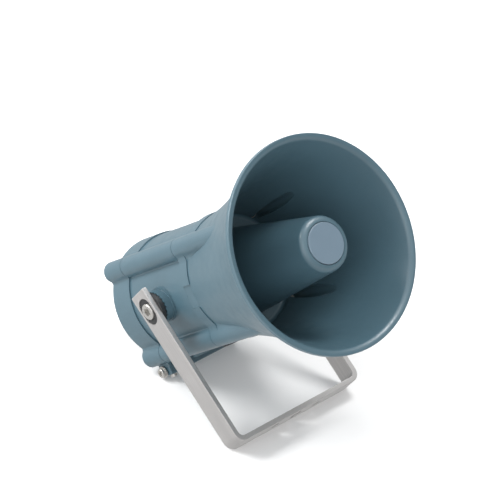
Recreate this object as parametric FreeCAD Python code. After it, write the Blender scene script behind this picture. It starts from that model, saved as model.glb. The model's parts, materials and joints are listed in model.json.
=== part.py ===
import FreeCAD, Part
import math
import os

from FreeCAD import Placement, Rotation, Vector

# Industrial horn loudspeaker: a moulded casing with a re-entrant horn in front, a compression
# driver and a line transformer inside, and a U bracket on toothed tilt pivots.
# Everything is drawn in the casing's own frame, in millimetres: Z runs along the horn axis
# towards the mouth, Y is up across the horn, X is sideways, and Z = 0 is the plane of the
# pivots. The last step lays the loudspeaker on the floor, resting on its bracket and chin.

# Horn
mouth_r = 105.0
mouth_z = 193.0
lip_depth = 5.0
lip_stand = 4.0
lip_edge = 0.8
lip_roll = 6.5
flare_root_r = 61.5
flare_root_z = 55.0
flare_straight_share = 0.5
flare_wall = 3.6
seam_z = 42.5
floor_z = 47.0
floor_corner = 4.0
horn_flange_r = 62.5
flange_flat_x = 60.3
flange_flat_h = 23.2
horn_spigot = 8.0
spigot_inner_r = 46.0

# Screw columns that run along the casing
column_pitch_r = 64.0
column_r = 10.5
body_crease = 1.5
cover_crease = 3.0
horn_crease = 9.0
horn_column_end_z = 118.0
tool_channel_r = 6.4
channel_floor_drop = 2.0

# Body
barrel_r = 60.0
bore_r = 52.0
body_rear_z = -50.0
seam_groove = 0.6
spigot_clearance = 0.2
body_spigot = 7.0
shoulder_front_z = 20.0
shoulder_depth = 7.0
shoulder_inner_r = 44.0
rib_r = 4.5
rib_pitch_r = 47.5
rib_screw_r = 46.5

# Rear cover and the chin under it, which carries the outer earth terminal
cover_r = 61.5
cover_rear_z = -82.0
cover_wall = 4.5
cover_edge = 2.5
cover_screw_sink = 14.0
chin_half_width = 46.0
chin_bottom_y = -68.0
chin_front_z = -57.0
chin_depth = 17.0
chin_edge = 1.2
chin_top_y = -40.0
earth_y = -63.0
earth_z = -68.0
earth_washer_r = 6.0
earth_insert_length = 7.0
chin_screw_inset = 4.0
chin_screw_z = -61.5
chin_screw_head_h = 3.0

# Tilt pivot
pivot_y = 1.8
boss_r = 16.1
boss_collar_r = 17.4
boss_collar_stand = 2.0
spot_face_clearance = 0.4
tooth_count = 24
tooth_depth = 1.2
tooth_land_share = 0.06
tooth_gap = 0.1
ratchet_flange = 3.6
key_inset = 0.8
key_clearance = 0.1
ratchet_counterbore_sink = 1.4
counterbore_clearance = 0.5
pivot_insert_sink = 2.5
pivot_insert_length = 14.0

# U bracket of flat bar
bracket_width = 160.0
bar_width = 25.0
bar_thickness = 5.0
bracket_reach = 154.0
leg_overrun = 20.7
bend_inner_r = 5.0
bar_edge = 0.6
leg_corner = 1.0
slot_width = 19.0
slot_length = 27.5
base_centre_hole_r = 6.5
base_side_hole_r = 4.25
base_side_hole_x = 27.0
bracket_angle = 75.3

# Cable entries on the underside of the body
entry_x = 17.0
entry_z = -31.0
entry_boss_r = 13.5
entry_face_y = -60.5
entry_r = 9.25
plug_head_r = 11.5
plug_head_h = 3.5
plug_length = 7.0
plug_washer_t = 1.0

# Screws: shank radius, head radius, head height
m3 = (1.5, 2.8, 2.4)
m4 = (2.0, 3.5, 3.0)
m5 = (2.5, 4.5, 3.2)
m6 = (3.0, 5.0, 4.0)
m10 = (5.0, 8.0, 6.0)
cover_screw = m6
horn_screw = m4
hexagon_share = 0.56
socket_depth_share = 0.6
head_chamfer_share = 0.1
insert_wall = 1.6
insert_length = 14.0
fit_gap = 0.05
shank_clearance = 0.3
head_clearance = 0.6
washer_t = 1.2
washer_rim = 0.9
spring_washer_t = 1.6
spring_washer_slit = 1.0

# Sealing rings
seal_r = 1.0
seal_squeeze_gap = 0.02
seal_groove_half = 1.3

# Driver
magnet_r = 42.0
magnet_inner_r = 27.0
plate_t = 6.0
magnet_t = 12.0
top_plate_front_z = 6.0
pole_r = 18.2
gap_outer_r = 20.4
pole_vent_r = 4.0
coil_inner_r = 18.6
coil_outer_r = 19.9
coil_length = 10.0
diaphragm_lift = 1.0
diaphragm_t = 0.8
dome_r = 19.0
dome_rise = 6.0
surround_r = 22.6
surround_gap = 0.3
clamp_outer_r = 31.0
clamp_t = 3.0
driver_cap_r = 50.5
driver_cap_t = 6.0
skirt_wall = 6.0
hub_outer_r = 30.0
hub_inner_r = 23.2
plug_seat_r = 20.2
plug_seat_depth = 6.0
plug_ledge = 2.2
plug_gap = 1.0
plug_slot_w = 1.6
plug_slot_count = 12
plug_slot_inner_r = 5.0
plug_slot_outer_r = 17.0
plug_tip_r = 2.0
driver_screw_pitch_r = 47.5
magnet_screw_pitch_r = 39.0
gasket_t = 1.5
gasket_r = 16.0

# Throat tube and reflector
throat_start_r = 9.5
throat_end_r = 14.0
throat_wall = 3.0
throat_end_z = 160.0
throat_foot_r = 16.0
throat_flange_r = 30.0
throat_flange_t = 4.0
throat_screw_pitch_r = 23.0
floor_boss_r = 5.0
floor_boss_length = 6.0
fin_count = 4
fin_t = 4.0
fin_start_z = 72.0
fin_length = 40.0
spider_hub_r = 6.5
spider_depth = 9.0
spider_arm_t = 3.0
reflector_rear_z = 58.0
reflector_rear_r = 43.0
reflector_neck_r = 27.2
reflector_front_z = 196.5
reflector_wall = 3.0
reflector_edge = 6.4
reflector_turn_z = 172.0
reflector_turn_peak_z = 181.0
reflector_core_r = 11.0
reflector_bolt_sink = 8.0
cap_r = 20.0
cap_seat = 3.0
cap_proud = 1.0
cap_edge = 0.8
cap_clearance = 0.6

# Terminal compartment
chassis_rear_z = -21.0
chassis_t = 2.0
chassis_r = 50.0
core_y = 14.0
core_width = 44.0
core_rise = 36.0
core_stack = 20.0
core_limb = 7.0
winding_overhang = 7.0
winding_clearance = 0.3
strap_t = 1.2
strap_w = 12.0
strap_foot = 9.0
block_y = -24.0
block_w = 54.0
block_depth = 18.0
block_h = 16.0
block_pole_count = 5
block_ear_share = 0.12
block_pocket_depth = 4.0
block_wire_hole_r = 2.2

# Directions and angles that several pieces share
origin = Vector(0, 0, 0)
x_axis = Vector(1, 0, 0)
y_axis = Vector(0, 1, 0)
z_axis = Vector(0, 0, 1)
sides = (-1, 1)
column_angles = [45 + 90 * k for k in range(4)]
cross_angles = [90 * k for k in range(4)]

# Stations and radii that several pieces share
cover_inner_r = cover_r - cover_wall
body_spigot_r = cover_inner_r - spigot_clearance
horn_spigot_r = bore_r - spigot_clearance
cover_seal_z = body_rear_z - body_spigot / 2
cover_seal_centre_r = cover_inner_r - seal_r - seal_squeeze_gap
horn_seal_z = seam_z - horn_spigot / 2
horn_seal_centre_r = bore_r - seal_r - seal_squeeze_gap
cover_seat_z = cover_rear_z + cover_screw_sink
horn_seat_z = floor_z - channel_floor_drop
chin_rear_z = chin_front_z - chin_depth
chin_screw_x = chin_screw_inset - chin_half_width
leg_inner_x = bracket_width / 2 - bar_thickness
ratchet_crest_x = leg_inner_x - ratchet_flange - tooth_depth
boss_crest_x = ratchet_crest_x - tooth_gap
ratchet_seat_x = leg_inner_x - ratchet_counterbore_sink
pivot_insert_x = boss_crest_x - pivot_insert_sink
flare_end_r = mouth_r - lip_stand
flare_end_z = mouth_z - lip_depth
magnet_front_z = top_plate_front_z - plate_t
back_plate_front_z = magnet_front_z - magnet_t
back_plate_rear_z = back_plate_front_z - plate_t
diaphragm_z = top_plate_front_z + diaphragm_lift
clamp_front_z = top_plate_front_z + clamp_t
driver_cap_front_z = shoulder_front_z + driver_cap_t
plug_rear_z = shoulder_front_z - plug_seat_depth
dome_sphere_r = (dome_r ** 2 + dome_rise ** 2) / (2 * dome_rise)
throat_foot_z = driver_cap_front_z + gasket_t
throat_flange_front_z = floor_z + throat_flange_t
reflector_neck_z = reflector_front_z - reflector_edge
cap_seat_z = reflector_front_z - cap_seat
bolt_seat_z = cap_seat_z - reflector_bolt_sink
strap_front_z = chassis_rear_z - core_rise
block_rear_z = chassis_rear_z - block_h


def cyl(r, z0, z1, x=0.0, y=0.0):
    """Cylinder along Z between two stations."""
    return Part.makeCylinder(r, z1 - z0, Vector(x, y, z0), z_axis)


def ring(r_in, r_out, z0, z1, x=0.0, y=0.0):
    """Flat ring along Z between two stations."""
    return cyl(r_out, z0, z1, x, y).cut(cyl(r_in, z0 - 1, z1 + 1, x, y))


def cyl_x(r, x0, x1, y, z):
    """Cylinder along X between two stations, given in either order."""
    return Part.makeCylinder(r, abs(x1 - x0), Vector(min(x0, x1), y, z), x_axis)


def cyl_y(r, y0, y1, x, z):
    """Cylinder along Y between two stations, given in either order."""
    return Part.makeCylinder(r, abs(y1 - y0), Vector(x, min(y0, y1), z), y_axis)


def box(x0, x1, y0, y1, z0, z1):
    """Box between two corners."""
    return Part.makeBox(x1 - x0, y1 - y0, z1 - z0, Vector(x0, y0, z0))


def polar(r, degrees):
    """X and Y of a point on a circle about the horn axis."""
    a = math.radians(degrees)
    return r * math.cos(a), r * math.sin(a)


def join(shapes):
    """All the shapes as one solid."""
    whole = shapes[0].fuse(shapes[1:]) if len(shapes) > 1 else shapes[0]
    return whole.removeSplitter()


def revolve(edges):
    """Solid of revolution about Z from the edges of an outline in the XZ plane."""
    face = Part.Face(Part.Wire(Part.__sortEdges__(edges)))
    return face.revolve(origin, z_axis, 360)


def polyline(points):
    """Straight edges between points given as radius and station."""
    corners = [Vector(r, 0, z) for r, z in points]
    return [Part.makeLine(a, b) for a, b in zip(corners, corners[1:])]


def arc(start, middle, end):
    """Arc edge in the XZ plane through three points given as radius and station."""
    return Part.Arc(*[Vector(r, 0, z) for r, z in (start, middle, end)]).toShape()


def spun(points):
    """Solid of revolution from a closed outline of radii and stations."""
    return revolve(polyline(points + points[:1]))


def edges_where(shape, test):
    """Edges of a shape whose middle point passes a test."""
    found = []
    for edge in shape.Edges:
        middle = edge.valueAt((edge.FirstParameter + edge.LastParameter) / 2)
        if test(middle):
            found.append(edge)
    return found


def edges_at_z(shape, z):
    """Edges of a shape that lie at one station."""
    return [e for e in shape.Edges if abs(e.BoundBox.ZMin - z) < 1e-4 and abs(e.BoundBox.ZMax - z) < 1e-4]


def around(angles, r, make):
    """One solid at each angle on a circle, from a function of X and Y."""
    return [make(*polar(r, angle)) for angle in angles]


def on_columns(make):
    """One solid for each screw column."""
    return around(column_angles, column_pitch_r, make)


def both_sides(make):
    """One solid for each side, from a function of the side's sign."""
    return [make(side) for side in sides]


def placed(shape, x, y, z, direction):
    """Copy of a shape made on the Z axis, moved to a point and turned along a direction."""
    copy = shape.copy()
    copy.Placement = Placement(Vector(x, y, z), Rotation(z_axis, direction))
    return copy


def columned_wire(r_main, r_column, crease, z):
    """Outline of a circle with four round columns and filleted creases, all tangent arcs."""
    to_fillet = r_main + crease
    reach = r_column + crease
    cosine = (to_fillet ** 2 + column_pitch_r ** 2 - reach ** 2) / (2 * to_fillet * column_pitch_r)
    spread = math.degrees(math.acos(cosine))

    def point(r, degrees):
        x, y = polar(r, degrees)
        return Vector(x, y, z)

    def flank(middle, side):
        """Start, middle and end of the crease beside a column, from the main circle outwards."""
        hollow = point(to_fillet, middle + side * spread)
        on_main = point(r_main, middle + side * spread)
        centre = point(column_pitch_r, middle)
        on_column = centre + (hollow - centre) * (r_column / reach)
        towards = (on_main + on_column) * 0.5 - hollow
        return on_main, hollow + towards * (crease / towards.Length), on_column

    edges = []
    for middle in column_angles:
        rise, fall = flank(middle, -1), flank(middle, 1)
        tip = point(column_pitch_r + r_column, middle)
        edges.append(Part.Arc(*rise).toShape())
        edges.append(Part.Arc(rise[2], tip, fall[2]).toShape())
        edges.append(Part.Arc(fall[2], fall[1], fall[0]).toShape())
        next_start = point(r_main, middle + 90 - spread)
        edges.append(Part.Arc(fall[0], point(r_main, middle + 45), next_start).toShape())
    return Part.Wire(edges)


def columned_prism(r_main, r_column, crease, z0, z1):
    """Straight body with the columned outline."""
    return Part.Face(columned_wire(r_main, r_column, crease, z0)).extrude(Vector(0, 0, z1 - z0))


def hexagon(corner_r, z0, z1):
    """Hexagonal prism on the Z axis."""
    corners = [Vector(*polar(corner_r, 60 * i), z0) for i in range(7)]
    return Part.Face(Part.makePolygon(corners)).extrude(Vector(0, 0, z1 - z0))


def socket_screw(size, length):
    """Hexagon socket screw on the Z axis: head above Z = 0, shank below."""
    shank_r, head_r, head_h = size
    head = cyl(head_r, 0, head_h)
    head = head.makeChamfer(head_h * head_chamfer_share, edges_at_z(head, head_h))
    depth = head_h * socket_depth_share
    socket = hexagon(head_r * hexagon_share, head_h - depth, head_h + 1)
    return join([head, cyl(shank_r, -length, 0)]).cut(socket)


def slotted_screw(size, length):
    """Slotted pan-head screw on the Z axis: head above Z = 0, shank below."""
    shank_r, head_r, head_h = size
    head = cyl(head_r, 0, head_h)
    head = head.makeFillet(head_h * 0.4, edges_at_z(head, head_h))
    slot = box(-head_r - 1, head_r + 1, -head_r * 0.12, head_r * 0.12, head_h * 0.5, head_h + 1)
    return join([head, cyl(shank_r, -length, 0)]).cut(slot)


def washer(size, thickness):
    """Plain washer on the Z axis, from Z = 0 down."""
    return ring(size[0] + shank_clearance, size[1] + washer_rim, -thickness, 0)


def spring_washer(size, outer_r):
    """Split spring washer on the Z axis, from Z = 0 down."""
    body = ring(size[0] + shank_clearance, outer_r, -spring_washer_t, 0)
    slit = box(0, outer_r + 1, -spring_washer_slit / 2, spring_washer_slit / 2, -spring_washer_t - 1, 1)
    return body.cut(slit)


def insert(size, length):
    """Threaded insert with two grip grooves, on the Z axis, from Z = 0 down."""
    outer_r = size[0] + insert_wall
    body = ring(size[0] + fit_gap, outer_r, -length, 0)
    grips = [ring(outer_r - 0.4, outer_r + 1, -length * share - 1, -length * share) for share in (0.3, 0.7)]
    return body.cut(grips)


def insert_hole_r(size):
    """Radius of the moulded hole around an insert."""
    return size[0] + insert_wall + fit_gap


def o_ring(centre_r, z):
    """Round sealing ring about the horn axis."""
    return Part.makeTorus(centre_r, seal_r, Vector(0, 0, z), z_axis)


def flare_r(z):
    """Outer radius of the flare: one share of the growth is straight, the rest square-law."""
    t = (z - flare_root_z) / (flare_end_z - flare_root_z)
    growth = flare_straight_share * t + (1 - flare_straight_share) * t * t
    return flare_root_r + (flare_end_r - flare_root_r) * growth


def flare_edge(inset, z0, z1, steps=7):
    """Smooth edge along the flare between two stations, inset from its outer face."""
    stations = [z0 + (z1 - z0) * i / (steps - 1) for i in range(steps)]
    curve = Part.BSplineCurve()
    curve.interpolate([Vector(flare_r(z) - inset, 0, z) for z in stations])
    return curve.toShape()


def flare_outside():
    """Outer solid of the flare with its lip, closed at the root."""
    start, end = (flare_r(flare_root_z), flare_root_z), (flare_r(flare_end_z), flare_end_z)
    rim = [end, (mouth_r - lip_edge, flare_end_z)]
    edges = [flare_edge(0.0, flare_root_z, flare_end_z)]
    edges += polyline(rim)
    edges += polyline([(mouth_r, flare_end_z + lip_edge), (mouth_r, mouth_z - lip_edge)])
    edges += polyline([(mouth_r - lip_edge, mouth_z), (0, mouth_z), (0, flare_root_z), start])
    diagonal = lip_edge * (1 - math.sqrt(0.5))
    edges.append(arc(rim[1], (mouth_r - diagonal, flare_end_z + diagonal), (mouth_r, flare_end_z + lip_edge)))
    edges.append(arc((mouth_r, mouth_z - lip_edge), (mouth_r - diagonal, mouth_z - diagonal),
                     (mouth_r - lip_edge, mouth_z)))
    return revolve(edges)


def flare_slope(z):
    """Growth of the flare's radius per millimetre along the axis."""
    length = flare_end_z - flare_root_z
    t = (z - flare_root_z) / length
    return (flare_end_r - flare_root_r) / length * (flare_straight_share + 2 * (1 - flare_straight_share) * t)


def flare_inside():
    """Hollow of the horn from its floor to past the mouth, whose wall rolls out into the rim."""
    root_r = flare_r(flare_root_z) - flare_wall
    start_angle = math.atan(flare_slope(flare_end_z))
    roll_z = mouth_z - lip_roll * (1 - math.sin(start_angle))
    roll_r = flare_r(roll_z) - flare_wall

    def on_roll(angle):
        return (roll_r + lip_roll * (math.cos(start_angle) - math.cos(angle)),
                roll_z + lip_roll * (math.sin(angle) - math.sin(start_angle)))

    rim = on_roll(math.pi / 2)
    edges = [flare_edge(flare_wall, flare_root_z, roll_z)]
    edges.append(arc((roll_r, roll_z), on_roll((start_angle + math.pi / 2) / 2), rim))
    edges += polyline([rim, (rim[0], mouth_z + 2), (0, mouth_z + 2), (0, floor_z)])
    edges += polyline([(0, floor_z), (root_r - floor_corner, floor_z)])
    diagonal = floor_corner * (1 - math.sqrt(0.5))
    edges.append(arc((root_r - floor_corner, floor_z), (root_r - diagonal, floor_z + diagonal),
                     (root_r, floor_z + floor_corner)))
    edges += polyline([(root_r, floor_z + floor_corner), (root_r, flare_root_z)])
    return revolve(edges)


def make_horn_flare():
    """Moulded horn: flange, columns, flare with a lip, floor, spigot and tool channels."""
    flange = columned_prism(horn_flange_r, column_r, horn_crease, seam_z, flare_root_z)
    columns = columned_prism(flare_root_r - 0.1, column_r, horn_crease, flare_root_z, horn_column_end_z)
    spigot = cyl(horn_spigot_r, seam_z - horn_spigot, seam_z)
    horn = join([flange, columns, flare_outside(), spigot])
    spigot_floor_z = floor_z - flare_wall - 0.9
    cuts = [flare_inside(), cyl(spigot_inner_r, seam_z - horn_spigot - 1, spigot_floor_z)]
    horn = horn.cut(cuts)
    bosses = around(column_angles, throat_screw_pitch_r,
                    lambda x, y: cyl(floor_boss_r, spigot_floor_z - floor_boss_length, spigot_floor_z + 1, x, y))
    horn = join([horn] + bosses)
    cuts = on_columns(lambda x, y: cyl(tool_channel_r, horn_seat_z, mouth_z, x, y))
    cuts += on_columns(lambda x, y: cyl(horn_screw[0] + shank_clearance, seam_z - 1, floor_z, x, y))
    cuts += around(column_angles, throat_screw_pitch_r,
                   lambda x, y: cyl(m4[0] + fit_gap, spigot_floor_z - floor_boss_length + 1, floor_z + 1, x, y))
    cuts.append(cyl(throat_foot_r + spigot_clearance, seam_z - 1, floor_z + 1))
    cuts.append(ring(horn_seal_centre_r - seal_r - fit_gap, bore_r + 1,
                     horn_seal_z - seal_groove_half, horn_seal_z + seal_groove_half))
    for side in sides:
        low, high = sorted((side * flange_flat_x, side * mouth_r))
        cuts.append(box(low, high, -flange_flat_h / 2, flange_flat_h / 2, seam_z - 1, flare_root_z))
    return horn.cut(cuts)


def pivot_bosses():
    """Round bosses that carry the toothed pivot faces, each with a wider collar at its root."""
    bosses = []
    for side in sides:
        bosses.append(cyl_x(boss_r, side * (bore_r - 1), side * boss_crest_x, pivot_y, 0))
        bosses.append(cyl_x(boss_collar_r, side * (bore_r - 1), side * (barrel_r + boss_collar_stand), pivot_y, 0))
    return bosses


def tooth_grooves(side, crest_x, depth, phase):
    """Radial V grooves of a toothed end face with its crests at one station of the pivot axis."""
    outer_r, inner_r = boss_collar_r + 1, insert_hole_r(m10) - 1
    half = math.tan(math.radians(180.0 / tooth_count)) * (1 - tooth_land_share)
    over = -0.1 * depth
    grooves = []
    for i in range(tooth_count):
        rims = []
        for r in (inner_r, outer_r):
            spread = r * half
            corners = [Vector(crest_x + over, -spread, r), Vector(crest_x + over, spread, r)]
            corners.append(Vector(crest_x + depth, 0, r))
            rims.append(Part.makePolygon(corners + corners[:1]))
        groove = Part.makeLoft(rims, True, True)
        groove.Placement = Placement(Vector(0, pivot_y, 0), Rotation(x_axis, 360.0 / tooth_count * (i + phase)))
        if side < 0:
            groove = groove.mirror(origin, x_axis)
        grooves.append(groove)
    return grooves


def entry_bosses():
    """Flat-faced bosses of the two cable entries under the body."""
    return both_sides(lambda side: cyl_y(entry_boss_r, entry_face_y, -bore_r * 0.9, side * entry_x, entry_z))


def make_body():
    """Moulded barrel with columns, inner shoulder and ribs, pivot bosses and cable entries."""
    skin = columned_prism(barrel_r, column_r, body_crease, body_rear_z, seam_z - seam_groove)
    rebate = columned_prism(barrel_r - seam_groove, column_r - seam_groove, body_crease + seam_groove,
                            seam_z - seam_groove, seam_z)
    spigot = cyl(body_spigot_r, body_rear_z - body_spigot, body_rear_z)
    body = join([skin, rebate, spigot] + pivot_bosses() + entry_bosses())
    shoulder_rear_z = shoulder_front_z - shoulder_depth
    body = body.cut([cyl(bore_r, body_rear_z - body_spigot - 1, shoulder_rear_z),
                     cyl(shoulder_inner_r, shoulder_rear_z - 1, shoulder_front_z + 1),
                     cyl(bore_r, shoulder_front_z, seam_z + 1)])
    rib_rear_z = chassis_rear_z + chassis_t
    ribs = around(column_angles, rib_pitch_r, lambda x, y: cyl(rib_r, rib_rear_z, shoulder_rear_z + 1, x, y))
    ribs = [rib.common(cyl(bore_r + 1, rib_rear_z, shoulder_rear_z + 1)) for rib in ribs]
    body = join([body] + ribs)
    cuts = on_columns(lambda x, y: cyl(insert_hole_r(cover_screw), body_rear_z - 1, body_rear_z + insert_length + 1,
                                       x, y))
    cuts += on_columns(lambda x, y: cyl(insert_hole_r(horn_screw), seam_z - insert_length - 1, seam_z + 1, x, y))
    cuts += around(column_angles, rib_screw_r, lambda x, y: cyl(m3[0] + fit_gap, rib_rear_z - 1, rib_rear_z + 9, x, y))
    cuts += around(cross_angles, driver_screw_pitch_r,
                   lambda x, y: cyl(m4[0] + fit_gap, shoulder_rear_z - 1, shoulder_front_z + 1, x, y))
    pivot_hole_end = pivot_insert_x - pivot_insert_length - 0.5
    cuts += both_sides(lambda side: cyl_x(insert_hole_r(m10), side * boss_crest_x * 1.02, side * pivot_hole_end,
                                          pivot_y, 0))
    cuts += both_sides(lambda side: cyl_y(entry_r, entry_face_y - 1, -bore_r * 0.8, side * entry_x, entry_z))
    cuts.append(ring(cover_seal_centre_r - seal_r - fit_gap, cover_inner_r,
                     cover_seal_z - seal_groove_half, cover_seal_z + seal_groove_half))
    spot_face_x = boss_crest_x + tooth_gap / 2
    cuts += both_sides(lambda side: cyl_x(boss_collar_r + spot_face_clearance, side * spot_face_x,
                                          side * bracket_width / 2, pivot_y, 0))
    for side in sides:
        cuts += tooth_grooves(side, boss_crest_x, -tooth_depth, 0.5)
    return body.cut(cuts)


def make_rear_cover():
    """Moulded rear cover: cup with columns, screw wells, and a chin for the earth terminal."""
    shell = columned_prism(cover_r, column_r, cover_crease, cover_rear_z, body_rear_z - seam_groove)
    shell = shell.makeFillet(cover_edge, edges_at_z(shell, cover_rear_z))
    rebate = columned_prism(barrel_r, column_r - seam_groove, cover_crease, body_rear_z - seam_groove,
                            body_rear_z)
    chin = box(-chin_half_width, chin_half_width, chin_bottom_y, chin_top_y, chin_rear_z, chin_front_z)
    low = edges_where(chin, lambda m: abs(m.y - chin_bottom_y) < 1e-6)
    chin = chin.makeFillet(chin_edge, low)
    cover = join([shell, rebate, chin])
    cavity = cyl(cover_inner_r, cover_rear_z + cover_wall, body_rear_z + 1)
    cavity = cavity.makeFillet(cover_edge, edges_at_z(cavity, cover_rear_z + cover_wall))
    cuts = [cavity]
    cuts += on_columns(lambda x, y: cyl(cover_screw[1] + head_clearance, cover_rear_z - 1, cover_seat_z, x, y))
    cuts += on_columns(lambda x, y: cyl(cover_screw[0] + shank_clearance, cover_seat_z - 1, body_rear_z + 1, x, y))
    cuts.append(cyl_x(insert_hole_r(m5), -chin_half_width - 1, earth_insert_length + 0.5 - chin_half_width, earth_y,
                      earth_z))
    cuts.append(cyl_y(m3[0] + fit_gap, chin_bottom_y - 1, chin_bottom_y + 9, chin_screw_x, chin_screw_z))
    return cover.cut(cuts)


def make_cover_seal():
    """Sealing ring between the rear cover and the body."""
    return o_ring(cover_seal_centre_r, cover_seal_z)


def make_horn_seal():
    """Sealing ring between the horn and the body."""
    return o_ring(horn_seal_centre_r, horn_seal_z)


def make_cover_screws():
    """Cap screws of the rear cover, deep in the wells of its columns."""
    length = body_rear_z + insert_length - cover_seat_z - washer_t
    screw = socket_screw(cover_screw, length + washer_t * 2 - 1)
    return on_columns(lambda x, y: placed(screw, x, y, cover_seat_z - washer_t, -z_axis))


def make_cover_screw_washers():
    """Washers under the heads of the rear cover's screws."""
    disc = ring(cover_screw[0] + shank_clearance, cover_screw[1] + head_clearance * 0.5, -washer_t, 0)
    return on_columns(lambda x, y: placed(disc, x, y, cover_seat_z - washer_t, -z_axis))


def make_horn_screws():
    """Cap screws that hold the horn, on the floor of the tool channels."""
    length = horn_seat_z + washer_t - (seam_z - insert_length) - 1
    screw = socket_screw(horn_screw, length)
    return on_columns(lambda x, y: placed(screw, x, y, horn_seat_z + washer_t, z_axis))


def make_horn_screw_washers():
    """Washers under the heads of the horn's screws."""
    disc = washer(horn_screw, washer_t)
    return on_columns(lambda x, y: placed(disc, x, y, horn_seat_z + washer_t, z_axis))


def make_column_inserts():
    """Threaded inserts in both ends of the body's columns."""
    rear_bush, front_bush = insert(cover_screw, insert_length), insert(horn_screw, insert_length)
    rear = on_columns(lambda x, y: placed(rear_bush, x, y, body_rear_z, -z_axis))
    return rear + on_columns(lambda x, y: placed(front_bush, x, y, seam_z, z_axis))


def make_throat_tube():
    """Throat tube: foot, flange on the horn's floor, widening bore, fins and a spider hub."""
    outer_start, outer_end = throat_start_r + throat_wall, throat_end_r + throat_wall
    tube = spun([(0, floor_z), (outer_start, floor_z), (outer_end, throat_end_z), (0, throat_end_z)])
    foot = cyl(throat_foot_r, throat_foot_z, floor_z + 1)
    flange = cyl(throat_flange_r, floor_z, throat_flange_front_z)
    flange = flange.makeChamfer(0.8, edges_at_z(flange, throat_flange_front_z))
    fins = []
    for k in range(fin_count):
        fin = box(outer_start - 2, reflector_rear_r, -fin_t / 2, fin_t / 2, fin_start_z, fin_start_z + fin_length)
        fin.rotate(origin, z_axis, 360.0 / fin_count * k)
        fins.append(fin.common(reflector_hollow()))
    tube = join([tube, foot, flange] + fins)
    bore = spun([(0, throat_foot_z - 1), (throat_start_r, throat_foot_z - 1), (throat_start_r, throat_foot_z),
                 (throat_end_r, throat_end_z), (throat_end_r, throat_end_z + 1), (0, throat_end_z + 1)])
    holes = around(column_angles, throat_screw_pitch_r,
                   lambda x, y: cyl(m4[0] + shank_clearance, floor_z - 1, throat_flange_front_z + 1, x, y))
    tube = tube.cut([bore] + holes)
    hub = cyl(spider_hub_r, throat_end_z - spider_depth, throat_end_z)
    arms = []
    for k in range(3):
        arm = box(0, throat_end_r + 0.5, -spider_arm_t / 2, spider_arm_t / 2, throat_end_z - spider_depth,
                  throat_end_z)
        arm.rotate(origin, z_axis, 120.0 * k)
        arms.append(arm)
    tube = join([tube, hub] + arms)
    return tube.cut(cyl(m5[0] + fit_gap, throat_end_z - spider_depth - 1, throat_end_z + 1))


def make_throat_screws():
    """Screws of the throat tube's flange into the bosses under the horn's floor."""
    screw = socket_screw(m4, throat_flange_t + 8)
    return around(column_angles, throat_screw_pitch_r,
                  lambda x, y: placed(screw, x, y, throat_flange_front_z, z_axis))


def make_throat_gasket():
    """Flat gasket between the driver and the foot of the throat tube."""
    return ring(throat_start_r, gasket_r, driver_cap_front_z, throat_foot_z)


def reflector_hollow():
    """Hollow of the reflector: a cone that turns round into the central core."""
    slope = (reflector_rear_r - reflector_neck_r) / (reflector_neck_z - reflector_rear_z)
    turn_r = reflector_rear_r - reflector_wall - slope * (reflector_turn_z - reflector_rear_z)
    start = (reflector_rear_r - reflector_wall, reflector_rear_z - 1)
    core = (reflector_core_r, reflector_turn_z + 2)
    peak = ((turn_r + reflector_core_r) / 2 + 1, reflector_turn_peak_z)
    edges = polyline([start, (reflector_rear_r - reflector_wall, reflector_rear_z), (turn_r, reflector_turn_z)])
    edges.append(arc((turn_r, reflector_turn_z), peak, core))
    edges += polyline([core, (spider_hub_r, throat_end_z), (0, throat_end_z), (0, reflector_rear_z - 1), start])
    return revolve(edges)


def make_reflector():
    """Central reflector: a tapered cup with a rounded front and a seat for the end cap."""
    flat_r = reflector_neck_r - reflector_edge
    diagonal = reflector_edge * (1 - math.sqrt(0.5))
    neck = (reflector_neck_r, reflector_neck_z)
    edges = polyline([(0, reflector_rear_z), (reflector_rear_r, reflector_rear_z), neck])
    edges.append(arc(neck, (reflector_neck_r - diagonal, reflector_front_z - diagonal),
                     (flat_r, reflector_front_z)))
    edges += polyline([(flat_r, reflector_front_z), (0, reflector_front_z), (0, reflector_rear_z)])
    cup = revolve(edges)
    cuts = [reflector_hollow(), cyl(cap_r + cap_clearance, cap_seat_z, reflector_front_z + 1)]
    cuts.append(cyl(m5[1] + head_clearance, bolt_seat_z, cap_seat_z + 1))
    cuts.append(cyl(m5[0] + shank_clearance, throat_end_z - 1, cap_seat_z))
    return cup.cut(cuts)


def make_reflector_bolt():
    """Bolt along the horn axis that ties the reflector to the throat tube."""
    length = bolt_seat_z + washer_t - throat_end_z + spider_depth - 1
    return placed(socket_screw(m5, length), 0, 0, bolt_seat_z + washer_t, z_axis)


def make_reflector_bolt_washer():
    """Washer under the head of the reflector's bolt."""
    disc = ring(m5[0] + shank_clearance, m5[1] + head_clearance * 0.5, -washer_t, 0)
    return placed(disc, 0, 0, bolt_seat_z + washer_t, z_axis)


def make_reflector_end_cap():
    """Round cap over the reflector's bolt."""
    front_z = reflector_front_z + cap_proud
    disc = cyl(cap_r, cap_seat_z, front_z)
    return disc.makeFillet(cap_edge, edges_at_z(disc, front_z))


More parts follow.
